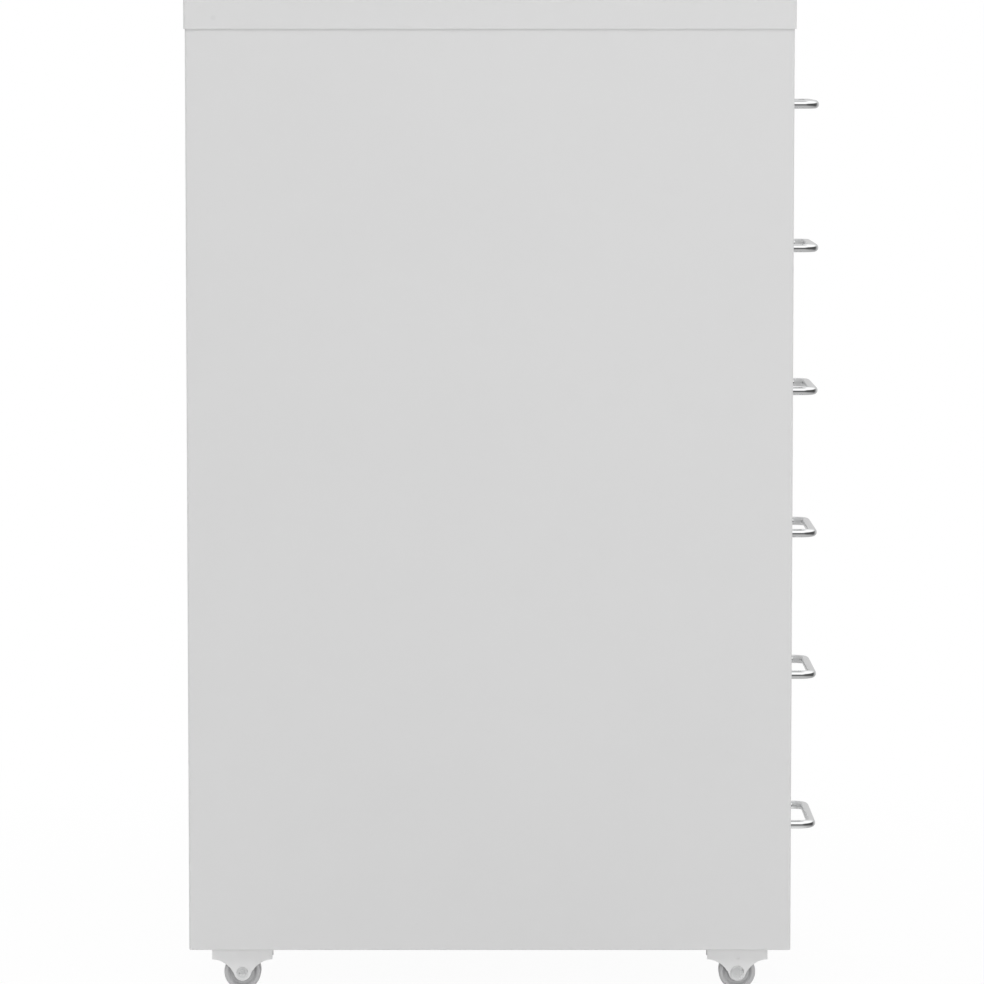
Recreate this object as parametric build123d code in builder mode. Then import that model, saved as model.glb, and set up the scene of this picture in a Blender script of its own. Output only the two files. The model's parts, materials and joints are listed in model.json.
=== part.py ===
from build123d import *
import os

os.makedirs("parts", exist_ok=True)

# A narrow steel drawer cabinet on four fixed castors, in millimetres. It stands on the floor at
# Z = 0, its front faces -Y, and left and right are as seen from the front, so left is -X. The
# origin lies on the floor under the middle of the whole cabinet, handles included.

# Body
body_width = 278.0  # over the two side panels
body_depth = 418.0  # front edge to rear edge of a side panel
sheet = 0.8  # steel of the body and of the drawer fronts
bend = 1.6  # outer radius of a folded edge
stile_width = 11.0  # front and rear returns of a side panel
return_depth = 9.0  # second return, where the runners are welded on
flange_width = 12.0  # flanges that meet the cover
flange_round = 0.95 * sheet  # outer edge of a side panel's top flange
foot_round = 0.75 * sheet  # outer edge at the foot of a side panel
base_rail_height = 17.95  # upturned edge of the base pan, below the lowest drawer
base_lip = 10.0  # rearward lip along the top of the base pan's front edge
top_rail_height = 22.45  # above the top drawer, mostly hidden by the cover

# Cover
skirt_height = 21.0
cover_gap = 0.2  # between the skirt and the side and back
cover_front_gap = 0.4  # between the skirt and the stiles
stud_diameter = 4.0
stud_length = 10.0
stud_inset_front = 48.0  # from the front edge of the body
stud_inset_rear = 50.0

# Drawers, from the top down
drawer_count = 6
small_front_height = 98.9  # every front but the lowest
tall_front_height = 111.3  # the lowest front
front_gap = 2.0  # between two fronts
edge_gap = 1.0  # between a front and the frame round it
front_recess = 1.0  # fronts lie this far behind the front edge of the body
front_depth = 5.0  # folded edge of a front
box_sheet = 0.7
box_bend = 1.5
box_side_inset = 8.0  # from the edge of the front to the box wall
box_floor_rise = 4.0  # from the lower edge of the front to the box
box_top_drop = 8.0  # from the upper edge of the front to the rim of the box
rim_fold = 3.0  # the end walls of a box stop this far below its rim
lip_gap = 0.6  # between the lip of a box and the second return
rear_space = 14.0  # between the box and the rear edge of the body
drawer_travel = 300.0

# Runners
runner_sheet = 1.0
runner_opening = 6.0  # clear height inside the channel
runner_play = 0.2  # under the lip of the box
runner_wall_gap = 1.2  # between a flange of the runner and the box wall
runner_behind_return = 0.5  # flanges start this far behind the second return
stop_gap = 0.3  # left at both ends of the travel
lip_stop_height = 4.1
lip_stop_width = 4.0
runner_stop_height = 3.5

# Handles and their screws
handle_reach = 23.0  # outer face of the bar, ahead of the side panels
handle_spacing = 96.0  # between the two legs
handle_rod = 6.0
handle_bend = 9.0  # centre line
screw_diameter = 4.0
screw_clearance = 0.25  # round a screw, on the radius
thread_clearance = 0.05
screw_head = 8.0
screw_head_height = 2.6
screw_bite = 9.0  # into the leg of the handle
screw_head_slope = 20.0  # degrees, side of a head

# Castors
caster_height = 30.0
caster_length = 42.0  # along Y
caster_sheet = 1.5
wheel_diameter = 25.5
wheel_width = 13.0  # tread
wheel_rim = 2.6  # from the tread to the dished side
wheel_dish = 1.8
tread_round = 1.5
hub_width = 15.6
hub_diameter = 11.0
fork_opening = 16.0  # between the cheeks
shoulder_drop = 8.0  # end of the bracket, down from the body
shoulder_hollow = 0.8  # sag of the shoulder's lower edge, up into the sheet
waist_drop = 11.3  # where the shoulders run into the neck, down from the body
waist_width = 23.2
waist_round = 1.5
nose_radius = 5.9
nose_angle = 20.0  # degrees below the axle where the neck meets the nose
cheek_round = 0.4  # outer edge of a cheek
caster_side_inset = 8.0  # from the side panel
caster_end_inset = 36.5  # wheel axis from the front or rear edge of the body
axle_diameter = 5.0
axle_clearance = 0.05
axle_head = 9.6
axle_head_height = 1.5
axle_head_round = 0.9
axle_tail = 8.0
axle_tail_height = 1.2
axle_tail_round = 0.6
tail_cup = 4.8  # conical hollow that spreads the tail
tail_cup_depth = 0.7
tail_cup_slope = 50.0  # degrees
tail_dimple = 1.7  # at the bottom of the hollow
tail_dimple_depth = 1.0
punch_mark = 2.6  # blind mark on the cheek, above the axle
punch_mark_depth = 0.7
punch_mark_height = 23.2
caster_screw_reach = 16.5  # from the wheel axis
caster_screw_head = 7.0
caster_screw_head_height = 2.0

# Nuts and rivets
nut_width = 7.0
nut_height = 3.2
screw_end = 1.0  # thread that shows past a nut
rivet_diameter = 3.2
rivet_head = 6.4
rivet_tail = 4.6
rivet_tail_length = 3.5
rivet_head_slope = 35.0  # degrees
rivet_spacing = 90.0  # along the base pan

# ------------------------------------------------------------------ places that follow from them
overall_depth = handle_reach + body_depth + cover_gap + sheet
y_handle = -overall_depth / 2  # outer face of the handles
y_front = y_handle + handle_reach
y_rear = y_front + body_depth
x_side = body_width / 2
x_web = x_side - sheet  # inner face of a side panel
x_stile = x_side - stile_width  # opening for the drawers

front_heights = [small_front_height] * (drawer_count - 1) + [tall_front_height]
z_base = caster_height
z_opening_bottom = z_base + base_rail_height
z_opening_top = z_opening_bottom + sum(front_heights) + front_gap * (drawer_count - 1) + 2 * edge_gap
z_body_top = z_opening_top + top_rail_height

y_rail = y_front + bend  # front face of the two rails
y_back_frame = y_rear - bend  # rear face of the base pan
y_back = y_rear - sheet  # rear face of the back panel
fold = bend - sheet / 2  # bend radius on the middle of the sheet

x_front = x_stile - edge_gap
y_front_face = y_front + front_recess
x_box = x_front - box_side_inset
x_lip = x_stile - lip_gap
y_box_front = y_front_face + sheet
y_box_rear = y_rear - rear_space
y_lip_front = y_front + return_depth + runner_behind_return

x_runner = x_stile + sheet  # the runner's web lies on the outer side of the second return
x_runner_inner = x_box + runner_wall_gap
y_runner_front = y_lip_front
y_runner_rear = y_box_rear + stop_gap + runner_sheet
y_lip_stop = y_runner_front + runner_sheet + stop_gap + drawer_travel

z_axle = wheel_diameter / 2
fork_width = fork_opening + 2 * caster_sheet
x_caster = x_side - caster_side_inset - fork_width / 2


def front_edge(index):
    """Top edge of a drawer front, counted from the top drawer."""
    return z_opening_top - edge_gap - sum(front_heights[:index]) - front_gap * index


def finish(builder, name):
    """Label a finished piece and write it."""
    builder.part.label = name
    export_step(builder.part, f"parts/{name}.step")


def make_nuts(name, bottom, centres, thread):
    """Hexagon nuts that stand on the height bottom."""
    with BuildPart() as nuts:
        with BuildSketch(Plane.XY.offset(bottom)):
            with Locations(*centres):
                RegularPolygon(nut_width / 2, 6, major_radius=False)
                Circle(thread / 2 + thread_clearance, mode=Mode.SUBTRACT)
        extrude(amount=nut_height)
    finish(nuts, name)


# ------------------------------------------------------------------ side panels
def make_side_panel(name, side):
    """A folded panel: web, front and rear stile, a second return on each, and a top flange."""
    x_middle = side * (x_side - sheet / 2)
    x_second = side * (x_stile + sheet / 2)
    with BuildPart() as panel:
        with BuildSketch(Plane.XY.offset(z_base)):
            with BuildLine():
                FilletPolyline(
                    (x_second, y_front + return_depth),
                    (x_second, y_front + sheet / 2),
                    (x_middle, y_front + sheet / 2),
                    (x_middle, y_rear - sheet / 2),
                    (x_second, y_rear - sheet / 2),
                    (x_second, y_rear - return_depth),
                    radius=fold,
                )
            trace(line_width=sheet)
        extrude(amount=z_body_top - z_base)

        # The second returns stop short of the base pan and of the top rail.
        notch_x = side * (x_stile + (stile_width - sheet) / 2)
        for bottom, top in ((z_base, z_opening_bottom), (z_opening_top, z_body_top)):
            with BuildSketch(Plane.XY.offset(bottom)):
                with Locations((notch_x, (y_front + y_rear) / 2)):
                    Rectangle(stile_width - sheet, body_depth - 2 * bend)
            extrude(amount=top - bottom, mode=Mode.SUBTRACT)

        # Top flange, clear of the top rail at the front and of the back panel at the rear.
        y_flange_front = y_rail + flange_width + edge_gap
        y_flange_rear = y_back - flange_width - edge_gap
        with BuildSketch(Plane.XY.offset(z_body_top - sheet)):
            with Locations((side * (x_side - flange_width / 2), (y_flange_front + y_flange_rear) / 2)):
                Rectangle(flange_width, y_flange_rear - y_flange_front)
        extrude(amount=sheet)
        outer_edges = panel.edges().filter_by(Axis.Y).group_by(Axis.X)[0 if side < 0 else -1]
        fillet(outer_edges.sort_by(Axis.Z)[-1], flange_round)
        outer_edges = panel.edges().filter_by(Axis.Y).group_by(Axis.X)[0 if side < 0 else -1]
        fillet(outer_edges.sort_by(Axis.Z)[0], foot_round)
        with BuildSketch(Plane.XY.offset(z_body_top)):
            with Locations(*stud_places(side)):
                Circle(stud_diameter / 2 + screw_clearance)
        extrude(amount=-sheet, mode=Mode.SUBTRACT)

        # Rivet holes through the rear second return.
        with BuildSketch(Plane.YZ.offset(side * x_stile)):
            with Locations(*side_rivet_places()):
                Circle(rivet_diameter / 2 + thread_clearance)
        extrude(amount=side * sheet, mode=Mode.SUBTRACT)
    finish(panel, name)


def stud_places(side):
    """Studs of the cover over one side panel, in plan."""
    x_stud = side * (x_side - sheet - (flange_width - sheet) / 2)
    return [(x_stud, y_front + stud_inset_front), (x_stud, y_rear - stud_inset_rear)]


def side_rivet_places():
    """Rivets that join the back panel to a second return, as Y and Z, at every other drawer."""
    y_rivet = y_back - bend - rivet_head / 2 - thread_clearance
    return [
        (y_rivet, front_edge(index) - front_heights[index] / 2)
        for index in range(0, drawer_count, 2)
    ]


make_side_panel("left_side_panel", -1)
make_side_panel("right_side_panel", 1)

# ------------------------------------------------------------------ base pan
caster_places = [
    ("front_left", -x_caster, y_front + caster_end_inset, -1),
    ("front_right", x_caster, y_front + caster_end_inset, 1),
    ("rear_left", -x_caster, y_rear - caster_end_inset, 1),
    ("rear_right", x_caster, y_rear - caster_end_inset, -1),
]
caster_screw_places = [
    (x, y + end * caster_screw_reach) for _, x, y, _ in caster_places for end in (-1, 1)
]
base_rivet_places = [(x * rivet_spacing, z_base + base_rail_height / 2) for x in (-1, 0, 1)]

with BuildPart() as base_pan:
    with BuildSketch(Plane.XY.offset(z_base)):
        with Locations((0, (y_rail + y_back_frame) / 2)):
            Rectangle(2 * x_web, y_back_frame - y_rail)
    extrude(amount=base_rail_height)
    fillet(base_pan.edges().group_by(Axis.Z)[0], bend)
    offset(amount=-sheet, openings=base_pan.faces().sort_by(Axis.Z)[-1])
    with BuildSketch(Plane.XY.offset(z_opening_bottom)):
        with Locations((0, y_rail + base_lip / 2)):
            Rectangle(2 * x_web, base_lip)
    extrude(amount=-sheet)
    fillet(base_pan.edges().filter_by(Axis.X).group_by(Axis.Z)[-1].sort_by(Axis.Y)[0], sheet / 2)
    with BuildSketch(Plane.XY.offset(z_base)):
        with Locations(*caster_screw_places):
            Circle(screw_diameter / 2 + screw_clearance)
    extrude(amount=sheet, mode=Mode.SUBTRACT)
    with BuildSketch(Plane.XZ.offset(-y_back_frame)):
        with Locations(*base_rivet_places):
            Circle(rivet_diameter / 2 + thread_clearance)
    extrude(amount=sheet, mode=Mode.SUBTRACT)
finish(base_pan, "base_pan")

# ------------------------------------------------------------------ top rail
with BuildPart() as top_rail:
    with BuildSketch(Plane.YZ.offset(-x_web)):
        with BuildLine():
            FilletPolyline(
                (y_rail + flange_width, z_opening_top + sheet / 2),
                (y_rail + sheet / 2, z_opening_top + sheet / 2),
                (y_rail + sheet / 2, z_body_top - sheet / 2),
                (y_rail + flange_width, z_body_top - sheet / 2),
                radius=fold,
            )
        trace(line_width=sheet)
    extrude(amount=2 * x_web)
finish(top_rail, "top_rail")

# ------------------------------------------------------------------ back panel
# A shallow pan that lies between the rear second returns, with a flange under the cover.
with BuildPart() as back_panel:
    with BuildSketch(Plane.XY.offset(z_base)):
        with BuildLine():
            FilletPolyline(
                (-x_stile + sheet / 2, y_rear - return_depth),
                (-x_stile + sheet / 2, y_back - sheet / 2),
                (x_stile - sheet / 2, y_back - sheet / 2),
                (x_stile - sheet / 2, y_rear - return_depth),
                radius=fold,
            )
        trace(line_width=sheet)
    extrude(amount=z_body_top - z_base)
    # The side flanges stop short of the base pan.
    with BuildSketch(Plane.XY.offset(z_base)):
        with Locations((0, y_back - sheet - return_depth / 2)):
            Rectangle(2 * x_stile, return_depth)
    extrude(amount=base_rail_height, mode=Mode.SUBTRACT)
    with BuildSketch(Plane.XY.offset(z_body_top)):
        with Locations((0, y_back - flange_width / 2)):
            Rectangle(2 * (x_stile - bend), flange_width)
    extrude(amount=-sheet)
    fillet(back_panel.edges().filter_by(Axis.X).group_by(Axis.Z)[-1].sort_by(Axis.Y)[-1], sheet / 2)
    with BuildSketch(Plane.XZ.offset(-y_back)):
        with Locations(*base_rivet_places):
            Circle(rivet_diameter / 2 + thread_clearance)
    extrude(amount=sheet, mode=Mode.SUBTRACT)
    for side in (-1, 1):
        with BuildSketch(Plane.YZ.offset(side * x_stile)):
            with Locations(*side_rivet_places()):
                Circle(rivet_diameter / 2 + thread_clearance)
        extrude(amount=-side * sheet, mode=Mode.SUBTRACT)
finish(back_panel, "back_panel")

# ------------------------------------------------------------------ rivets of the back panel
rivet_head_height = y_rear - y_back
rivet_grip = 2 * sheet

# One blind rivet: a low domed head on the XY plane, the tail down past the grip.
with BuildPart() as rivet:
    with BuildSketch():
        Circle(rivet_diameter / 2)
    extrude(amount=-(rivet_grip + rivet_tail_length))
    with BuildSketch():
        Circle(rivet_head / 2)
    extrude(amount=rivet_head_height, taper=rivet_head_slope)
    with BuildSketch(Plane.XY.offset(-rivet_grip)):
        Circle(rivet_tail / 2)
    extrude(amount=-rivet_tail_length)

rivet_planes = [Plane((x, y_back, z), z_dir=(0, 1, 0)) for x, z in base_rivet_places]
for side in (-1, 1):
    for y_rivet, z_rivet in side_rivet_places():
        rivet_planes.append(Plane((side * (x_stile - sheet), y_rivet, z_rivet), z_dir=(-side, 0, 0)))
with BuildPart() as back_rivets:
    with Locations(*rivet_planes):
        add(rivet.part)
finish(back_rivets, "back_rivets")

# ------------------------------------------------------------------ cover
y_cover_front = y_front - cover_front_gap - sheet
y_cover_rear = y_rear + cover_gap + sheet
cover_width = body_width + 2 * (cover_gap + sheet)
with BuildPart() as top_cover:
    with BuildSketch(Plane.XY.offset(z_body_top + sheet)):
        with Locations((0, (y_cover_front + y_cover_rear) / 2)):
            Rectangle(cover_width, y_cover_rear - y_cover_front)
    extrude(amount=-skirt_height)
    fillet(top_cover.edges().filter_by(Axis.Z), bend)
    fillet(top_cover.edges().group_by(Axis.Z)[-1], bend)
    offset(amount=-sheet, openings=top_cover.faces().sort_by(Axis.Z)[0])
    with BuildSketch(Plane.XY.offset(z_body_top)):
        with Locations(*stud_places(-1), *stud_places(1)):
            Circle(stud_diameter / 2)
    extrude(amount=-stud_length)
finish(top_cover, "top_cover")

make_nuts("cover_nuts", z_body_top - sheet - nut_height, stud_places(-1) + stud_places(1), stud_diameter)


# ------------------------------------------------------------------ runners
def make_runner(name, side, z_track):
    """A folded channel open to the drawer, welded to both second returns of a side panel.

    z_track is the upper face of the lower flange, which carries the lip of the box.
    """
    x_middle = side * (x_runner + runner_sheet / 2)
    z_low = z_track - runner_sheet / 2
    z_high = z_track + runner_opening + runner_sheet / 2
    length = y_runner_rear - y_runner_front
    with BuildPart() as runner:
        with BuildSketch(Plane.XZ.offset(-y_runner_front)):
            with BuildLine():
                FilletPolyline(
                    (side * x_runner_inner, z_high),
                    (x_middle, z_high),
                    (x_middle, z_low),
                    (side * x_runner_inner, z_low),
                    radius=runner_sheet,
                )
            trace(line_width=runner_sheet)
        extrude(amount=-length)

        # The web runs on at both ends as tongues, over the second returns.
        tongue_front = y_front + bend
        tongue_rear = y_rear - bend
        with BuildSketch(Plane.YZ.offset(side * x_runner)):
            with Locations(((tongue_front + tongue_rear) / 2, (z_low + z_high) / 2)):
                Rectangle(tongue_rear - tongue_front, z_high - z_low - 2 * runner_sheet)
        extrude(amount=side * runner_sheet)

        # Front stop, folded down from the upper flange, and rear stop across the channel.
        x_stop = side * (x_runner_inner + x_runner) / 2
        with BuildSketch(Plane.XZ.offset(-y_runner_front)):
            with Locations((x_stop, z_high - runner_stop_height / 2)):
                Rectangle(x_runner - x_runner_inner, runner_stop_height)
        extrude(amount=-runner_sheet)
        with BuildSketch(Plane.XZ.offset(-y_runner_rear)):
            with Locations((x_stop, (z_low + z_high) / 2)):
                Rectangle(x_runner - x_runner_inner, z_high - z_low)
        extrude(amount=runner_sheet)
    finish(runner, name)


# ------------------------------------------------------------------ drawers
def make_box(name, top, height):
    """A folded tray with a lip along each side that slides in a runner."""
    z_floor = top - height + box_floor_rise
    z_rim = top - box_top_drop
    length = y_box_rear - y_box_front
    with BuildPart() as box:
        with BuildSketch(Plane.XY.offset(z_floor)):
            with Locations((0, (y_box_front + y_box_rear) / 2)):
                Rectangle(2 * x_box, length)
        extrude(amount=z_rim - rim_fold - z_floor)
        fillet(box.edges().filter_by(Axis.Z), box_bend)
        fillet(box.edges().group_by(Axis.Z)[0], box_bend)
        offset(amount=-box_sheet, openings=box.faces().sort_by(Axis.Z)[-1])
        for side in (-1, 1):
            x_wall = side * (x_box - box_sheet / 2)
            with BuildSketch(Plane.XZ.offset(-y_lip_front)):
                with BuildLine():
                    FilletPolyline(
                        (x_wall, z_rim - 2 * rim_fold),
                        (x_wall, z_rim - box_sheet / 2),
                        (side * x_lip, z_rim - box_sheet / 2),
                        radius=box_bend - box_sheet / 2,
                    )
                trace(line_width=box_sheet)
            extrude(amount=-(y_box_rear - box_bend - y_lip_front))
            # The lip runs on to the rear stop, and a small plate on it meets the front stop.
            with BuildSketch(Plane.XY.offset(z_rim)):
                with Locations((side * (x_box + x_lip + box_bend) / 2, y_box_rear - box_bend)):
                    Rectangle(x_lip - x_box - box_bend, 2 * box_bend)
            extrude(amount=-box_sheet)
            with BuildSketch(Plane.XY.offset(z_rim)):
                with Locations((side * (x_lip - lip_stop_width / 2), y_lip_stop + box_sheet / 2)):
                    Rectangle(lip_stop_width, box_sheet)
            extrude(amount=lip_stop_height)
        with BuildSketch(Plane.XZ.offset(-y_front_face)):
            with Locations(*handle_legs(top, height)):
                Circle(screw_diameter / 2 + screw_clearance)
        extrude(amount=-(sheet + box_sheet), mode=Mode.SUBTRACT)
    finish(box, name)


def handle_legs(top, height):
    """Axes of the two legs of a handle, as X and Z."""
    return [(side * handle_spacing / 2, top - height / 2) for side in (-1, 1)]


def make_front(name, top, height):
    """A shallow folded pan that closes the opening."""
    with BuildPart() as front:
        with BuildSketch(Plane.XZ.offset(-y_front_face)):
            with Locations((0, top - height / 2)):
                Rectangle(2 * x_front, height)
        extrude(amount=-front_depth)
        fillet(front.edges().filter_by(Axis.Y), bend)
        fillet(front.edges().group_by(Axis.Y)[0], bend)
        offset(amount=-sheet, openings=front.faces().sort_by(Axis.Y)[-1])
        with BuildSketch(Plane.XZ.offset(-y_front_face)):
            with Locations(*handle_legs(top, height)):
                Circle(screw_diameter / 2 + screw_clearance)
        extrude(amount=-(sheet + box_sheet), mode=Mode.SUBTRACT)
    finish(front, name)


def make_handle(name, top, height):
    """A round rod bent into a wide D, with a tapped hole in the end of each leg."""
    z_handle = top - height / 2
    x_leg = handle_spacing / 2
    y_bar = y_handle + handle_rod / 2
    with BuildPart() as handle:
        with BuildLine():
            FilletPolyline(
                (-x_leg, y_front_face, z_handle),
                (-x_leg, y_bar, z_handle),
                (x_leg, y_bar, z_handle),
                (x_leg, y_front_face, z_handle),
                radius=handle_bend,
            )
        with BuildSketch(Plane(origin=(-x_leg, y_front_face, z_handle), z_dir=(0, -1, 0))):
            Circle(handle_rod / 2)
        sweep()
        with BuildSketch(Plane.XZ.offset(-y_front_face)):
            with Locations(*handle_legs(top, height)):
                Circle(screw_diameter / 2 + thread_clearance)
        extrude(amount=screw_bite + screw_end, mode=Mode.SUBTRACT)
    finish(handle, name)


def make_handle_screws(name, top, height):
    """Two round-headed screws, put in from inside the drawer."""
    y_seat = y_box_front + box_sheet
    with BuildPart() as screws:
        with BuildSketch(Plane.XZ.offset(-y_seat)):
            with Locations(*handle_legs(top, height)):
                Circle(screw_diameter / 2)
        extrude(amount=sheet + box_sheet + screw_bite)
        with BuildSketch(Plane.XZ.offset(-y_seat)):
            with Locations(*handle_legs(top, height)):
                Circle(screw_head / 2)
        extrude(amount=-screw_head_height, taper=screw_head_slope)
    finish(screws, name)


for index, height in enumerate(front_heights):
    number = index + 1
    top = front_edge(index)
    z_lip = top - box_top_drop - box_sheet
    make_runner(f"runner_left_{number}", -1, z_lip - runner_play)
    make_runner(f"runner_right_{number}", 1, z_lip - runner_play)
    make_box(f"drawer_{number}_box", top, height)
    make_front(f"drawer_{number}_front", top, height)
    make_handle(f"drawer_{number}_handle", top, height)
    make_handle_screws(f"drawer_{number}_screws", top, height)


# ------------------------------------------------------------------ castors
def make_bracket(name, x, y, head_side):
    """A pressed fork: wide shoulders on the body, and cheeks that narrow to the axle."""
    with BuildPart() as bracket:
        with BuildSketch(Plane.YZ.offset(x - fork_width / 2)) as cheek:
            with BuildLine():
                nose = CenterArc((y, z_axle), nose_radius, 180 + nose_angle, 180 - 2 * nose_angle)
                for end, nose_end, upward in ((-1, nose @ 0, -(nose % 0)), (1, nose @ 1, nose % 1)):
                    waist = (y + end * waist_width / 2, z_base - waist_drop)
                    shoulder = (y + end * caster_length / 2, z_base - shoulder_drop)
                    TangentArc(nose_end, waist, tangent=upward)
                    SagittaArc(waist, shoulder, end * shoulder_hollow)
                    Line(shoulder, (y + end * caster_length / 2, z_base))
                Line((y - caster_length / 2, z_base), (y + caster_length / 2, z_base))
            make_face()
            waists = cheek.vertices().filter_by_position(
                Axis.Y, z_base - waist_drop - waist_round, z_base - shoulder_drop, (True, False)
            )
            fillet(waists, waist_round)
        extrude(amount=fork_width)
        fillet(bracket.edges().filter_by(Axis.Y).group_by(Axis.Z)[-1], caster_sheet)
        with BuildSketch(Plane.XZ.offset(-(y - caster_length / 2))):
            with Locations((x, (z_base - caster_sheet) / 2)):
                RectangleRounded(fork_opening, z_base - caster_sheet, caster_sheet / 2)
        extrude(amount=-caster_length, mode=Mode.SUBTRACT)
        for end in (0, -1):
            outline = bracket.faces().sort_by(Axis.X)[end].edges().filter_by(GeomType.CIRCLE)
            fillet(outline, cheek_round)

        with BuildSketch(Plane.YZ.offset(x - fork_width / 2)):
            with Locations((y, z_axle)):
                Circle(axle_diameter / 2 + axle_clearance)
        extrude(amount=fork_width, mode=Mode.SUBTRACT)
        with BuildSketch(Plane.YZ.offset(x + head_side * fork_width / 2)):
            with Locations((y, punch_mark_height)):
                Circle(punch_mark / 2)
        extrude(amount=-head_side * punch_mark_depth, mode=Mode.SUBTRACT)
        with BuildSketch(Plane.XY.offset(z_base)):
            with Locations((x, y - caster_screw_reach), (x, y + caster_screw_reach)):
                Circle(screw_diameter / 2 + screw_clearance)
        extrude(amount=-caster_sheet, mode=Mode.SUBTRACT)
    finish(bracket, name)


def make_wheel(name, x, y):
    """A plain wheel: rounded tread, dished sides and a hub that runs between the cheeks."""
    x_tread = wheel_width / 2
    x_hub = hub_width / 2
    x_dish = x_tread - wheel_dish
    r_bore = axle_diameter / 2 + axle_clearance
    r_hub = hub_diameter / 2
    r_hub_foot = r_hub + x_hub - x_tread  # the hub flares where it meets the dish
    r_rim = z_axle - wheel_rim
    with BuildPart() as wheel:
        with BuildSketch(Plane(origin=(x, y, z_axle), x_dir=(1, 0, 0), z_dir=(0, -1, 0))):
            with BuildLine():
                Line((-x_hub, r_bore), (x_hub, r_bore))
                Line((-x_tread, z_axle), (x_tread, z_axle))
                for side in (-1, 1):
                    Polyline(
                        (side * x_hub, r_bore),
                        (side * x_hub, r_hub),
                        (side * x_dish, r_hub_foot),
                        (side * x_dish, r_rim - wheel_dish),
                        (side * x_tread, r_rim),
                        (side * x_tread, z_axle),
                    )
            make_face()
        revolve(axis=Axis((x, y, z_axle), (1, 0, 0)))
        fillet(wheel.edges().filter_by(GeomType.CIRCLE).group_by(SortBy.RADIUS)[-1], tread_round)
    finish(wheel, name)


def make_axle(name, x, y, head_side):
    """A rivet axle: a domed head on one cheek and a spread tail on the other."""
    outward = (head_side, 0, 0)
    head_face = Plane(origin=(x + head_side * fork_width / 2, y, z_axle), x_dir=(0, 0, 1), z_dir=outward)
    tail_face = Plane(
        origin=(x - head_side * fork_width / 2, y, z_axle), x_dir=(0, 0, 1), z_dir=(-head_side, 0, 0)
    )
    with BuildPart() as axle:
        with BuildSketch(tail_face):
            Circle(axle_diameter / 2)
        extrude(amount=-fork_width)
        with BuildSketch(head_face):
            Circle(axle_head / 2)
        extrude(amount=axle_head_height)
        fillet(axle.faces().sort_by(Axis(head_face.origin, outward))[-1].edges(), axle_head_round)
        with BuildSketch(tail_face):
            Circle(axle_tail / 2)
        extrude(amount=axle_tail_height)
        fillet(axle.faces().sort_by(Axis(head_face.origin, outward))[0].edges(), axle_tail_round)
        with BuildSketch(tail_face.offset(axle_tail_height)):
            Circle(tail_cup / 2)
        extrude(amount=-tail_cup_depth, taper=tail_cup_slope, mode=Mode.SUBTRACT)
        with BuildSketch(tail_face.offset(axle_tail_height - tail_cup_depth)):
            Circle(tail_dimple / 2)
        extrude(amount=-tail_dimple_depth, mode=Mode.SUBTRACT)
    finish(axle, name)


for place, x, y, head_side in caster_places:
    make_bracket(f"caster_{place}_bracket", x, y, head_side)
    make_wheel(f"caster_{place}_wheel", x, y)
    make_axle(f"caster_{place}_axle", x, y, head_side)

with BuildPart() as caster_screws:
    z_seat = z_base - caster_sheet
    with BuildSketch(Plane.XY.offset(z_seat)):
        with Locations(*caster_screw_places):
            Circle(screw_diameter / 2)
    extrude(amount=caster_sheet + sheet + nut_height + screw_end)
    with BuildSketch(Plane.XY.offset(z_seat)):
        with Locations(*caster_screw_places):
            Circle(caster_screw_head / 2)
    extrude(amount=-caster_screw_head_height, taper=screw_head_slope)
finish(caster_screws, "caster_screws")

make_nuts("caster_nuts", z_base + sheet, caster_screw_places, screw_diameter)
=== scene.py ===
import json
import math

import bmesh
import bpy
from mathutils import Matrix, Vector

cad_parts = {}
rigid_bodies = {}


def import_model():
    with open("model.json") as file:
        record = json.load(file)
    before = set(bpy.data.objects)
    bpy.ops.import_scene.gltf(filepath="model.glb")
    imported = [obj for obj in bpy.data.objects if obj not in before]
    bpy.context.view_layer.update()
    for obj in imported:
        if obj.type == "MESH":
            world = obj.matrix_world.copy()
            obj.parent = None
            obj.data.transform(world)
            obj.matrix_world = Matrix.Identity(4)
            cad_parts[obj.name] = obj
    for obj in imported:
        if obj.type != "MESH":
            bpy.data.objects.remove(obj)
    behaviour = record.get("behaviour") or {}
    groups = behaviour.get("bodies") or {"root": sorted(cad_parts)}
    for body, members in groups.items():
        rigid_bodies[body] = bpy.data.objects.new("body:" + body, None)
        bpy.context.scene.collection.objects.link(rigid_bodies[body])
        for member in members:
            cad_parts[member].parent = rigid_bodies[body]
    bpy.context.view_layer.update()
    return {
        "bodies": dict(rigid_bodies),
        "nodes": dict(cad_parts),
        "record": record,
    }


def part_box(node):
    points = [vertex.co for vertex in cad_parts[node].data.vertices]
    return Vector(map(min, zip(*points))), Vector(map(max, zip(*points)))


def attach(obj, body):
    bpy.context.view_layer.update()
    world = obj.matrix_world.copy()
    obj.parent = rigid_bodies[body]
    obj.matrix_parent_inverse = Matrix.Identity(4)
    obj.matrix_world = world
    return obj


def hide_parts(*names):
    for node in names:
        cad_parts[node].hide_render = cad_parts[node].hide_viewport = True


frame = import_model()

# A narrow steel drawer cabinet on four castors. Units are metres, the front faces -Y, and places
# come from the frame's nodes.
MM = 0.001

# Camera: square to the left side, from just below the top of the cabinet
CAMERA_PLACE = Vector((-3.739, 0.00948, 0.660))
CAMERA_PITCH = math.radians(4.927)  # downwards
HALF_ANGLE = math.radians(5.3676)
SENSOR = 36.0

# Studio
SHADE_NEAR = 0.965  # share of plain white on the floor beside the cabinet, the rest shows its shadow
SHADE_RADIUS = (0.30, 1.1)
FLOOR_SIZE = 60.0
SKY_LIGHT = 0.38  # what the pale room adds to the lamps on matt surfaces
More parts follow.
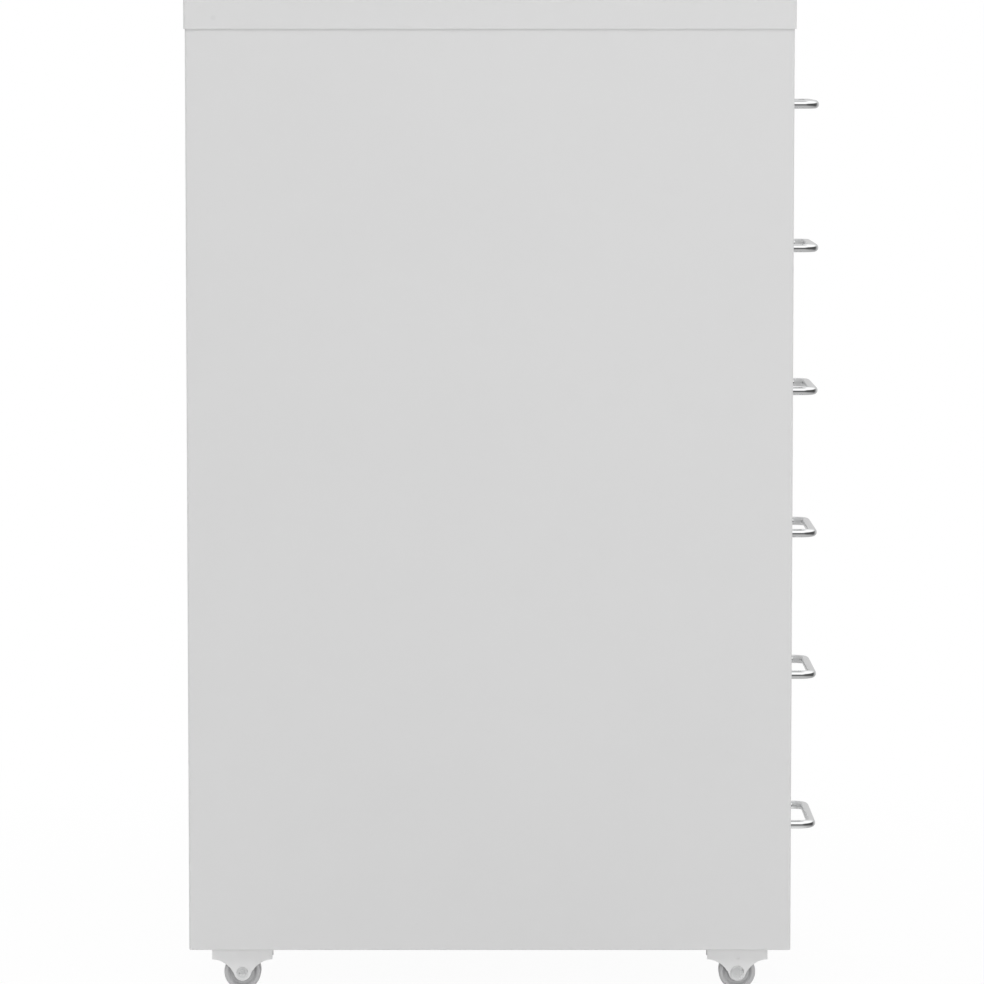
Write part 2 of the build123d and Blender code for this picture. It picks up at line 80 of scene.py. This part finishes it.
# What polished metal shows of the room, as sine of the height above the horizon and level. On the
# camera's side: pale floor, the dark end of the room, white screens, ceiling. Before the drawers the
# dark end is taller. Behind: the backdrop.
NEAR_ROOM = (
    (-1.0, 0.56), (-0.55, 0.46), (-0.36, 0.12), (0.12, 0.10), (0.20, 1.2), (0.90, 1.2), (0.97, 0.62),
)
FRONT_ROOM = (
    (-1.0, 0.56), (-0.62, 0.40), (-0.45, 0.10), (0.28, 0.08), (0.38, 1.2), (0.90, 1.2), (0.97, 0.62),
)
FRONT_SIDE = (0.30, 0.70)  # where the side of the room turns into its front, along -Y
BACKDROP = ((-1.0, 0.44), (-0.40, 0.52), (-0.10, 0.64), (0.20, 0.66), (0.60, 0.80), (0.90, 0.44))
BACKDROP_SIDE = (0.25, 0.85)  # where the room turns into the backdrop, along +X
MIRROR_REACH = (0.08, 0.14)  # metal this near the floor shows the floor itself
LAMP_AIM = Vector((0.0, 0.0, 0.34))
LAMPS = (
    # name, place, width, height, watts
    ("key", Vector((-3.6, -0.95, 0.60)), 2.4, 1.2, 37.8),
    ("overhead", Vector((-2.55, -0.10, 4.10)), 1.8, 2.4, 67.0),
    ("front_fill", Vector((0.9, -3.6, 1.5)), 2.0, 2.0, 31.0),
    ("right_fill", Vector((3.2, 0.9, 1.9)), 2.0, 2.0, 45.0),
    ("rear_fill", Vector((0.6, 3.4, 1.7)), 2.0, 2.0, 34.0),
)

# Fasteners
PHILLIPS_WIDTH = 4.4 * MM  # across the cross recess at the top of a head
PHILLIPS_SLOT = 0.95 * MM
PHILLIPS_DEPTH = 1.5 * MM
PHILLIPS_RISE = 0.15 * PHILLIPS_DEPTH  # of the cutting tool, above the head
PHILLIPS_FOOT_WIDTH = 0.32 * PHILLIPS_WIDTH
PHILLIPS_FOOT_SLOT = 0.7 * PHILLIPS_SLOT
HEAD_STEPS = 48
RIVET_STEPS = 32
NUT_CHAMFER = math.radians(30)
NUT_SINK = 0.3 * MM  # countersink of the bore
NUT_BORE_GAP = 0.05 * MM
THREAD_PITCH = 0.7 * MM
THREAD_DEPTH = 0.25 * MM
M4_RADIUS = 2.0 * MM
RIVET_SHANK = 1.6 * MM  # radius
RIVET_TAIL = 2.3 * MM  # radius
RIVET_GRIP = 1.6 * MM  # the two sheets that a rivet holds
SIDE_RIVET_HEAD = 0.8 * MM
BOX_SHEET = 0.7 * MM
CASTER_SHEET = 1.5 * MM

SMOOTH_ANGLE = 35.0  # degrees, edges sharper than this stay sharp


# ------------------------------------------------------------------ node helpers
def node(tree, kind, inputs=None, **settings):
    """Add one node, set its values and link the sockets that are given."""
    made = tree.nodes.new(kind)
    for key, value in settings.items():
        setattr(made, key, value)
    for key, value in (inputs or {}).items():
        if isinstance(value, bpy.types.NodeSocket):
            tree.links.new(value, made.inputs[key])
        else:
            made.inputs[key].default_value = value
    return made


def maths(tree, operation, *values):
    return node(tree, "ShaderNodeMath", dict(enumerate(values)), operation=operation).outputs[0]


def ramp(tree, factor, low, high, start=0.0, end=1.0):
    """Map a value from low..high to start..end, smoothly and clamped."""
    made = node(
        tree, "ShaderNodeMapRange",
        {"Value": factor, "From Min": low, "From Max": high, "To Min": start, "To Max": end},
        interpolation_type="SMOOTHSTEP",
    )
    return made.outputs["Result"]


def noise(tree, place, scale, detail=2.0, roughness=0.5):
    made = node(
        tree, "ShaderNodeTexNoise",
        {"Vector": place, "Scale": scale, "Detail": detail, "Roughness": roughness},
    )
    return made.outputs[0]


def stretched(tree, place, scale):
    """The place with each axis scaled, which draws a texture out along the axis of the least scale."""
    return node(tree, "ShaderNodeMapping", {"Vector": place, "Scale": scale}).outputs[0]


def tinted(tree, colour, factor, amount):
    """A colour that gets lighter and darker by amount as factor runs from 0 to 1."""
    darker = tuple(c * (1 - amount) for c in colour) + (1.0,)
    lighter = tuple(min(1.0, c * (1 + amount)) for c in colour) + (1.0,)
    made = node(tree, "ShaderNodeMix", {"Factor": factor}, data_type="RGBA")
    made.inputs["A"].default_value = darker
    made.inputs["B"].default_value = lighter
    return made.outputs["Result"]


def bumped(tree, height, strength, distance, normal=None):
    inputs = {"Height": height, "Strength": strength, "Distance": distance}
    if normal is not None:
        inputs["Normal"] = normal
    return node(tree, "ShaderNodeBump", inputs).outputs[0]


def new_material(name):
    """A material with its tree, its shader and the object's own coordinates."""
    material = bpy.data.materials.new(name)
    material.use_nodes = True
    tree = material.node_tree
    shader = tree.nodes["Principled BSDF"]
    place = node(tree, "ShaderNodeTexCoord").outputs["Object"]
    return material, tree, shader, place


# ------------------------------------------------------------------ materials
PAINT = (0.685, 0.685, 0.685)
PEEL_SCALE = 620.0
WELD_MARK = Vector((0.0, 0.2004, 0.6757))  # on the skirt, near the rear edge
WELD_MARK_RADIUS = 2.6 * MM


def powder_coat(name, marks=()):
    """Satin powder coat: orange peel, faint clouds in the colour, and welds that show through.

    A mark is a place in Y and Z, so it shows on both sides of the piece.
    """
    material, tree, shader, place = new_material(name)
    clouds = noise(tree, place, 7.0, detail=3.0)
    peel = noise(tree, place, PEEL_SCALE, detail=1.5)
    swell = noise(tree, place, 14.0, detail=1.0)
    colour = tinted(tree, PAINT, clouds, 0.012)
    normal = bumped(tree, swell, 0.25, 0.3 * MM)
    normal = bumped(tree, peel, 0.22, 0.03 * MM, normal)
    separate = node(tree, "ShaderNodeSeparateXYZ", {"Vector": place})
    for mark in marks:
        flat = node(
            tree, "ShaderNodeCombineXYZ",
            {"X": 0.0, "Y": separate.outputs["Y"], "Z": separate.outputs["Z"]},
        )
        away = node(
            tree, "ShaderNodeVectorMath", {0: flat.outputs[0], 1: mark}, operation="DISTANCE"
        ).outputs["Value"]
        dent = ramp(tree, away, 0.0, WELD_MARK_RADIUS, 0.0, 1.0)
        normal = bumped(tree, dent, 0.35, 0.12 * MM, normal)
        shade = ramp(tree, away, 0.3 * WELD_MARK_RADIUS, WELD_MARK_RADIUS, 0.95, 1.0)
        mix = node(tree, "ShaderNodeMix", {"Factor": 1.0}, data_type="RGBA", blend_type="MULTIPLY")
        tree.links.new(colour, mix.inputs["A"])
        tree.links.new(shade, mix.inputs["B"])
        colour = mix.outputs["Result"]
    tree.links.new(colour, shader.inputs["Base Color"])
    tree.links.new(ramp(tree, clouds, 0.2, 0.8, 0.40, 0.46), shader.inputs["Roughness"])
    tree.links.new(normal, shader.inputs["Normal"])
    return material


def chrome():
    """Bright plating on a drawn rod."""
    material, tree, shader, place = new_material("handle_chrome_bright")
    drawn = noise(tree, stretched(tree, place, (1.0, 1.0, 6.0)), 160.0)
    smear = noise(tree, place, 90.0, detail=3.0)
    shader.inputs["Metallic"].default_value = 1.0
    tree.links.new(tinted(tree, (0.84, 0.845, 0.85), smear, 0.02), shader.inputs["Base Color"])
    tree.links.new(ramp(tree, smear, 0.3, 0.8, 0.05, 0.11), shader.inputs["Roughness"])
    tree.links.new(bumped(tree, drawn, 0.08, 0.02 * MM), shader.inputs["Normal"])
    return material


def zinc(name, colour, low, high, grain=(1.0, 0.06, 1.0), metallic=1.0):
    """Zinc plate: rolling streaks along the length and a faint bloom."""
    material, tree, shader, place = new_material(name)
    streaks = noise(tree, stretched(tree, place, grain), 900.0, detail=2.0)
    bloom = noise(tree, place, 55.0, detail=4.0, roughness=0.6)
    shader.inputs["Metallic"].default_value = metallic
    tree.links.new(tinted(tree, colour, bloom, 0.10), shader.inputs["Base Color"])
    tree.links.new(ramp(tree, bloom, 0.25, 0.75, low, high), shader.inputs["Roughness"])
    tree.links.new(bumped(tree, streaks, 0.12, 0.02 * MM), shader.inputs["Normal"])
    return material


def bracket_plate():
    """Pressed castor fork, light grey lacquer over zinc."""
    material, tree, shader, place = new_material("bracket_lacquer")
    bloom = noise(tree, place, 70.0, detail=3.0)
    fine = noise(tree, place, 1100.0)
    tree.links.new(tinted(tree, (0.80, 0.80, 0.80), bloom, 0.03), shader.inputs["Base Color"])
    tree.links.new(ramp(tree, bloom, 0.25, 0.75, 0.32, 0.42), shader.inputs["Roughness"])
    tree.links.new(bumped(tree, fine, 0.15, 0.02 * MM), shader.inputs["Normal"])
    return material


def wheel_plastic():
    """Moulded grey plastic with a fine matt texture."""
    material, tree, shader, place = new_material("wheel_plastic_moulded")
    cloud = noise(tree, place, 60.0, detail=3.0)
    fine = noise(tree, place, 1500.0, detail=2.0)
    tree.links.new(tinted(tree, (0.50, 0.50, 0.505), cloud, 0.05), shader.inputs["Base Color"])
    tree.links.new(ramp(tree, cloud, 0.25, 0.75, 0.34, 0.44), shader.inputs["Roughness"])
    tree.links.new(bumped(tree, fine, 0.25, 0.03 * MM), shader.inputs["Normal"])
    return material


# ------------------------------------------------------------------ mesh helpers
def lathe(mesh, profile, steps=HEAD_STEPS):
    """Revolve a list of (radius, height) points about Z; ends on the axis are closed to a point."""
    rings = []
    for radius, height in profile:
        if radius < 1e-7:
            rings.append([mesh.verts.new((0.0, 0.0, height))])
            continue
        turn = 2 * math.pi / steps
        rings.append([
            mesh.verts.new((radius * math.cos(turn * step), radius * math.sin(turn * step), height))
            for step in range(steps)
        ])
    for lower, upper in zip(rings, rings[1:]):
        bridge(mesh, lower, upper)


def bridge(mesh, lower, upper):
    """Faces between two rings, or between a ring and a point."""
    count = max(len(lower), len(upper))
    if count == 1:
        return
    for step in range(count):
        after = (step + 1) % count
        if len(lower) == 1:
            mesh.faces.new((lower[0], upper[after], upper[step]))
        elif len(upper) == 1:
            mesh.faces.new((lower[step], lower[after], upper[0]))
        else:
            mesh.faces.new((lower[step], lower[after], upper[after], upper[step]))


def arc(centre, radius, start, end, steps):
    """Points of an arc in the profile plane, angles in degrees."""
    points = []
    for step in range(steps + 1):
        angle = math.radians(start + (end - start) * step / steps)
        points.append((centre[0] + radius * math.cos(angle), centre[1] + radius * math.sin(angle)))
    return points


def mesh_object(name, mesh, angle=SMOOTH_ANGLE):
    """An object from a bmesh, smooth but for its sharp edges."""
    bmesh.ops.recalc_face_normals(mesh, faces=mesh.faces)
    data = bpy.data.meshes.new(name)
    mesh.to_mesh(data)
    mesh.free()
    made = bpy.data.objects.new(name, data)
    bpy.context.scene.collection.objects.link(made)
    data.shade_smooth()
    data.set_sharp_from_angle(angle=math.radians(angle))
    return made


def cut(target, tool):
    """Take tool away from target and keep the result as target's own mesh."""
    modifier = target.modifiers.new("cut", "BOOLEAN")
    modifier.operation = "DIFFERENCE"
    modifier.solver = "EXACT"
    modifier.object = tool
    graph = bpy.context.evaluated_depsgraph_get()
    data = bpy.data.meshes.new_from_object(target.evaluated_get(graph))
    target.modifiers.clear()
    target.data = data
    bpy.data.objects.remove(tool)
    data.shade_smooth()
    data.set_sharp_from_angle(angle=math.radians(SMOOTH_ANGLE))


def solids_of(name):
    """Lowest and highest corner of each separate solid in a node."""
    mesh = bmesh.new()
    mesh.from_mesh(frame["nodes"][name].data)
    bmesh.ops.remove_doubles(mesh, verts=mesh.verts, dist=1e-6)
    boxes = []
    waiting = set(mesh.verts)
    while waiting:
        front = [waiting.pop()]
        low, high = front[0].co.copy(), front[0].co.copy()
        while front:
            vertex = front.pop()
            low = Vector(map(min, low, vertex.co))
            high = Vector(map(max, high, vertex.co))
            for edge in vertex.link_edges:
                other = edge.other_vert(vertex)
                if other in waiting:
                    waiting.remove(other)
                    front.append(other)
        boxes.append((low, high))
    mesh.free()
    return sorted(boxes, key=lambda pair: tuple(round(v, 5) for v in pair[0]))


def set_copies(name, pattern, places, material, body):
    """Copy one piece to each place in one object that stands for the node of that name."""
    joined = bmesh.new()
    for place in places:
        copy = pattern.data.copy()
        copy.transform(place)
        joined.from_mesh(copy)
        bpy.data.meshes.remove(copy)
    bpy.data.objects.remove(pattern)
    made = mesh_object(f"{name}_detail", joined)
    made.data.materials.append(material)
    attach(made, body)
    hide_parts(name)
    return made


# ------------------------------------------------------------------ fasteners
def cross_recess(top):
    """The tool that cuts a cross recess down from the height top."""
    mesh = bmesh.new()
    levels = (
        (PHILLIPS_FOOT_WIDTH / 2, PHILLIPS_FOOT_SLOT / 2, top - PHILLIPS_DEPTH),
        (PHILLIPS_WIDTH / 2, PHILLIPS_SLOT / 2, top + PHILLIPS_RISE),
    )
    quarters = [Matrix.Rotation(step * math.pi / 2, 4, "Z") for step in range(4)]
    rings = []
    for reach, half, height in levels:
        arm = [Vector((x, y, height)) for x, y in ((reach, -half), (reach, half), (half, half))]
        rings.append([mesh.verts.new(quarter @ point) for quarter in quarters for point in arm])
    bridge(mesh, *rings)
    mesh.faces.new(rings[0][::-1])
    mesh.faces.new(rings[1])
    return mesh_object("cross_recess", mesh)


def threaded(radius, start, end):
    """Profile of a thread from start to end along the axis, as rounded ridges."""
    count = max(1, round(abs(end - start) / THREAD_PITCH))
    step = (end - start) / count
    points = [(radius - THREAD_DEPTH, start)]
    for ridge in range(count):
        points.append((radius, start + step * (ridge + 0.4)))
        points.append((radius, start + step * (ridge + 0.6)))
        points.append((radius - THREAD_DEPTH, start + step * (ridge + 1)))
    return points


def pan_screw(name, head_radius, head_height, shank_radius, shank_length):
    """A pan head on Z = 0 with a cross recess, and its threaded shank below."""
    crown = 0.55 * head_height
    profile = [(0.0, -shank_length)]
    profile += threaded(shank_radius, -shank_length, -THREAD_PITCH)
    profile += [(shank_radius, -THREAD_PITCH * 0.5), (shank_radius, 0.0), (head_radius * 0.96, 0.0)]
    profile += [(head_radius, head_height - crown - 0.1 * MM)]
    profile += arc((head_radius - crown, head_height - crown), crown, 0, 70, 6)
    profile += [(head_radius * 0.45, head_height), (0.0, head_height)]
    mesh = bmesh.new()
    lathe(mesh, profile)
    screw = mesh_object(name, mesh)
    cut(screw, cross_recess(head_height))
    return screw


def hexagon_nut(name, across, height, bore):
    """A nut on Z = 0 with two flats along X, chamfered corners and a countersunk bore."""
    mesh = bmesh.new()
    half = across / 2
    rings = []
    outline = []  # angle and radius of the hexagon
    for step in range(HEAD_STEPS):
        angle = 2 * math.pi * step / HEAD_STEPS
        from_flat = angle % (math.pi / 3) - math.pi / 6
        outline.append((angle, half / math.cos(from_flat)))

    def ring(radius_of, height_of):
        """One ring of corners; both functions take the hexagon's radius there."""
        rings.append([
            mesh.verts.new((radius_of(r) * math.cos(a), radius_of(r) * math.sin(a), height_of(r)))
            for a, r in outline
        ])

    land = half * 0.97
    mouth = bore + NUT_SINK

    def drop(radius):
        """How far the chamfer is down at this radius."""
        return (radius - land) * math.tan(NUT_CHAMFER)

    ring(lambda r: bore, lambda r: NUT_SINK)
    ring(lambda r: mouth, lambda r: 0.0)
    ring(lambda r: land, lambda r: 0.0)
    ring(lambda r: r, drop)
    ring(lambda r: r, lambda r: height - drop(r))
    ring(lambda r: land, lambda r: height)
    ring(lambda r: mouth, lambda r: height)
    ring(lambda r: bore, lambda r: height - NUT_SINK)
    for lower, upper in zip(rings, rings[1:] + rings[:1]):
        bridge(mesh, lower, upper)
    return mesh_object(name, mesh, angle=20.0)


def blind_rivet(name, head_radius, head_height, tail_length):
    """A domed head on Z = 0 with the stub of its mandrel, and a swollen tail below the grip."""
    stub = 0.336 * head_radius
    swell = tail_length / 4
    profile = [(0.0, -RIVET_GRIP - tail_length)]
    profile += arc((RIVET_TAIL - swell, -RIVET_GRIP - 2 * swell), swell, -80, 80, 6)
    profile += [(RIVET_SHANK, -RIVET_GRIP), (RIVET_SHANK, 0.0), (head_radius, 0.0)]
    profile += arc((head_radius - head_height * 0.9, 0.1 * head_height), head_height * 0.9, 10, 75, 6)
    profile += [(stub + 0.25 * MM, head_height), (stub + 0.1 * MM, head_height * 0.8)]
    profile += [(stub, head_height * 0.45), (stub * 0.9, head_height * 0.7), (0.0, head_height * 0.7)]
    mesh = bmesh.new()
    lathe(mesh, profile, steps=RIVET_STEPS)
    return mesh_object(name, mesh)


def turned(point, axis):
    """A matrix that takes +Z to axis and the origin to point."""
    turn = Vector((0, 0, 1)).rotation_difference(Vector(axis))
    return Matrix.Translation(point) @ turn.to_matrix().to_4x4()


def make_handle_screws(number, material):
    """Screws of one handle, seen from inside the drawer."""
    name = f"drawer_{number}_screws"
    boxes = solids_of(name)
    low, high = boxes[0]
    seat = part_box(f"drawer_{number}_box")[0].y + BOX_SHEET
    pattern = pan_screw(
        f"{name}_pattern", (high.x - low.x) / 2, high.y - seat, M4_RADIUS, seat - low.y
    )
    places = [turned(Vector(((a.x + b.x) / 2, seat, (a.z + b.z) / 2)), (0, 1, 0)) for a, b in boxes]
    set_copies(name, pattern, places, material, f"drawer_{number}")


def make_caster_screws(material):
    """Screws that hold the castors, heads down."""
    boxes = solids_of("caster_screws")
    low, high = boxes[0]
    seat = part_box("base_pan")[0].z - CASTER_SHEET
    pattern = pan_screw(
        "caster_screws_pattern", (high.x - low.x) / 2, seat - low.z, M4_RADIUS, high.z - seat
    )
    places = [turned(Vector(((a.x + b.x) / 2, (a.y + b.y) / 2, seat)), (0, 0, -1)) for a, b in boxes]
    set_copies("caster_screws", pattern, places, material, "cabinet")


def make_nuts(name, material):
    """All the nuts of one node, on what they hold down."""
    boxes = solids_of(name)
    low, high = boxes[0]
    across = min(high.x - low.x, high.y - low.y)
    pattern = hexagon_nut(f"{name}_pattern", across, high.z - low.z, M4_RADIUS + NUT_BORE_GAP)
    places = [Matrix.Translation(((a.x + b.x) / 2, (a.y + b.y) / 2, a.z)) for a, b in boxes]
    set_copies(name, pattern, places, material, "cabinet")


def make_rivets(material):
    """Rivets of the back panel: those low on the back point rearwards, the others inwards."""
    rear_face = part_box("back_panel")[1].y
    places = []
    for low, high in solids_of("back_rivets"):
        middle = (low + high) / 2
        if high.y > rear_face:
            places.append(turned(Vector((middle.x, rear_face, middle.z)), (0, 1, 0)))
            head_height = high.y - rear_face
            head_radius = (high.x - low.x) / 2
            tail_length = rear_face - low.y - RIVET_GRIP
        else:
            side = math.copysign(1.0, middle.x)
            seat = (low.x if side > 0 else high.x) + side * SIDE_RIVET_HEAD
            places.append(turned(Vector((seat, middle.y, middle.z)), (-side, 0, 0)))
    pattern = blind_rivet("back_rivets_pattern", head_radius, head_height, tail_length)
    set_copies("back_rivets", pattern, places, material, "cabinet")


# ------------------------------------------------------------------ dress the frame
def paint(name, material):
    """Give a node its material."""
    materials = frame["nodes"][name].data.materials
    materials.clear()
    materials.append(material)


def dress_frame():
    """Give every node its finish, and put fasteners with their detail in place of the plain ones."""
    coat = powder_coat("body_powder_coat")
    cover = powder_coat("cover_powder_coat", marks=(WELD_MARK,))
    drawer_coat = powder_coat("drawer_powder_coat")
    plating = chrome()
    runner = zinc("runner_zinc", (0.62, 0.62, 0.63), 0.26, 0.38)
    fastener = zinc("fastener_zinc", (0.66, 0.66, 0.67), 0.22, 0.34, grain=(1.0, 1.0, 1.0))
    nickel = zinc("axle_nickel", (0.70, 0.705, 0.705), 0.24, 0.34, grain=(1.0, 1.0, 1.0), metallic=0.9)
    fork = bracket_plate()
    plastic = wheel_plastic()
    finishes = {
        "body_paint": coat,
        "drawer_paint": drawer_coat,
        "runner_steel": runner,
        "handle_chrome": plating,
        "bracket_steel": fork,
        "wheel_plastic": plastic,
        "axle_steel": nickel,
        "fastener_steel": fastener,
    }
    for part in frame["record"]["subparts"]:
        paint(part["node"], finishes[part["material_slot"]])
    paint("top_cover", cover)
    for body in frame["bodies"]:
        if body.startswith("drawer_"):
            make_handle_screws(body.split("_")[1], fastener)
    make_caster_screws(fastener)
    make_nuts("caster_nuts", fastener)
    make_nuts("cover_nuts", fastener)
    make_rivets(fastener)


# ------------------------------------------------------------------ studio
def background_rays(tree):
    """1 for rays that see the plain white studio: camera, mirror-like and glass rays."""
    path = node(tree, "ShaderNodeLightPath")
    seen = maths(tree, "MAXIMUM", path.outputs["Is Camera Ray"], path.outputs["Is Glossy Ray"])
    return maths(tree, "MAXIMUM", seen, path.outputs["Is Transmission Ray"])


def make_floor():
    """A plain pale floor, white at a distance, that keeps a faint shadow near the cabinet."""
    half = FLOOR_SIZE / 2
    mesh = bmesh.new()
    signs = ((-1, -1), (1, -1), (1, 1), (-1, 1))
    mesh.faces.new([mesh.verts.new((x * half, y * half, 0.0)) for x, y in signs])
    floor = mesh_object("floor", mesh)
    material = bpy.data.materials.new("floor_pale")
    material.use_nodes = True
    tree = material.node_tree
    tree.nodes.clear()
    place = node(tree, "ShaderNodeNewGeometry").outputs["Position"]
    away = node(tree, "ShaderNodeVectorMath", {0: place}, operation="LENGTH").outputs["Value"]
    white = ramp(tree, away, *SHADE_RADIUS, SHADE_NEAR, 1.0)
    factor = maths(tree, "MULTIPLY", white, background_rays(tree))
    diffuse = node(tree, "ShaderNodeBsdfDiffuse", {"Color": (0.8, 0.8, 0.8, 1.0)})
    glow = node(tree, "ShaderNodeEmission", {"Color": (1.0, 1.0, 1.0, 1.0), "Strength": 1.0})
    shown = node(tree, "ShaderNodeMixShader", {0: factor, 1: diffuse.outputs[0], 2: glow.outputs[0]})
    path = node(tree, "ShaderNodeLightPath")
    far = ramp(tree, path.outputs["Ray Length"], *MIRROR_REACH)
    beyond = maths(tree, "MULTIPLY", path.outputs["Is Glossy Ray"], far)
    clear = node(tree, "ShaderNodeBsdfTransparent")
    mix = node(tree, "ShaderNodeMixShader", {0: beyond, 1: shown.outputs[0], 2: clear.outputs[0]})
    node(tree, "ShaderNodeOutputMaterial", {"Surface": mix.outputs[0]})
    floor.data.materials.append(material)


def level_by_height(tree, height, levels):
    """A level that runs straight between the given heights."""
    made = node(tree, "ShaderNodeValToRGB", {"Fac": maths(tree, "MULTIPLY_ADD", height, 0.5, 0.5)})
    stops = made.color_ramp.elements
    for _ in levels[2:]:
        stops.new(0.5)
    brightest = max(level for _, level in levels)
    for stop, (sine, level) in zip(stops, levels):
        stop.position = (sine + 1) / 2
        stop.color = (level / brightest,) * 3 + (1.0,)
    return maths(tree, "MULTIPLY", made.outputs["Color"], brightest)


def blend_levels(tree, factor, low, high):
    """low where factor is 0, high where it is 1."""
    made = node(tree, "ShaderNodeMix", {"Factor": factor, "A": low, "B": high}, data_type="FLOAT")
    return made.outputs["Result"]


def make_world():
    """A pale room: plain light for matt surfaces, and a room to show in polished metal."""
    world = bpy.data.worlds.new("studio")
    bpy.context.scene.world = world
    world.use_nodes = True
    tree = world.node_tree
    tree.nodes.clear()
    direction = node(tree, "ShaderNodeTexCoord").outputs["Generated"]
    separate = node(tree, "ShaderNodeSeparateXYZ", {"Vector": direction})
    height = separate.outputs["Z"]
    behind = ramp(tree, separate.outputs["X"], *BACKDROP_SIDE)
    forwards = maths(tree, "MULTIPLY", separate.outputs["Y"], -1.0)
    room = blend_levels(
        tree, ramp(tree, forwards, *FRONT_SIDE),
        level_by_height(tree, height, NEAR_ROOM), level_by_height(tree, height, FRONT_ROOM),
    )
    room = blend_levels(tree, behind, room, level_by_height(tree, height, BACKDROP))
    path = node(tree, "ShaderNodeLightPath")
    unseen = blend_levels(tree, path.outputs["Is Glossy Ray"], SKY_LIGHT, room)
    seen = maths(tree, "MAXIMUM", path.outputs["Is Camera Ray"], path.outputs["Is Transmission Ray"])
    light = node(
        tree, "ShaderNodeBackground",
        {"Color": (1.0, 1.0, 1.0, 1.0), "Strength": blend_levels(tree, seen, unseen, 1.0)},
    )
    node(tree, "ShaderNodeOutputWorld", {"Surface": light.outputs[0]})


def make_lamps():
    """Large soft lamps round the cabinet, all turned to its middle."""
    for name, place, width, height, watts in LAMPS:
        data = bpy.data.lights.new(name, "AREA")
        data.shape = "RECTANGLE"
        data.size, data.size_y = width, height
        data.energy = watts
        lamp = bpy.data.objects.new(name, data)
        lamp.location = place
        lamp.visible_glossy = False  # polished metal shows the screens of the room, not the lamps
        lamp.rotation_mode = "QUATERNION"
        lamp.rotation_quaternion = (LAMP_AIM - place).to_track_quat("-Z", "Y")
        bpy.context.scene.collection.objects.link(lamp)


def make_camera():
    """The photograph's view, with a level horizon and no shift of the lens."""
    data = bpy.data.cameras.new("camera")
    data.sensor_width = SENSOR
    data.lens = SENSOR / 2 / math.tan(HALF_ANGLE)
    data.clip_start, data.clip_end = 0.05, 100.0
    camera = bpy.data.objects.new("camera", data)
    camera.location = CAMERA_PLACE
    camera.rotation_mode = "QUATERNION"
    aim = Vector((math.cos(CAMERA_PITCH), 0.0, -math.sin(CAMERA_PITCH)))
    camera.rotation_quaternion = aim.to_track_quat("-Z", "Y")
    bpy.context.scene.collection.objects.link(camera)
    bpy.context.scene.camera = camera


dress_frame()
make_floor()
make_world()
make_lamps()
make_camera()
bpy.context.scene.view_settings.view_transform = "Standard"
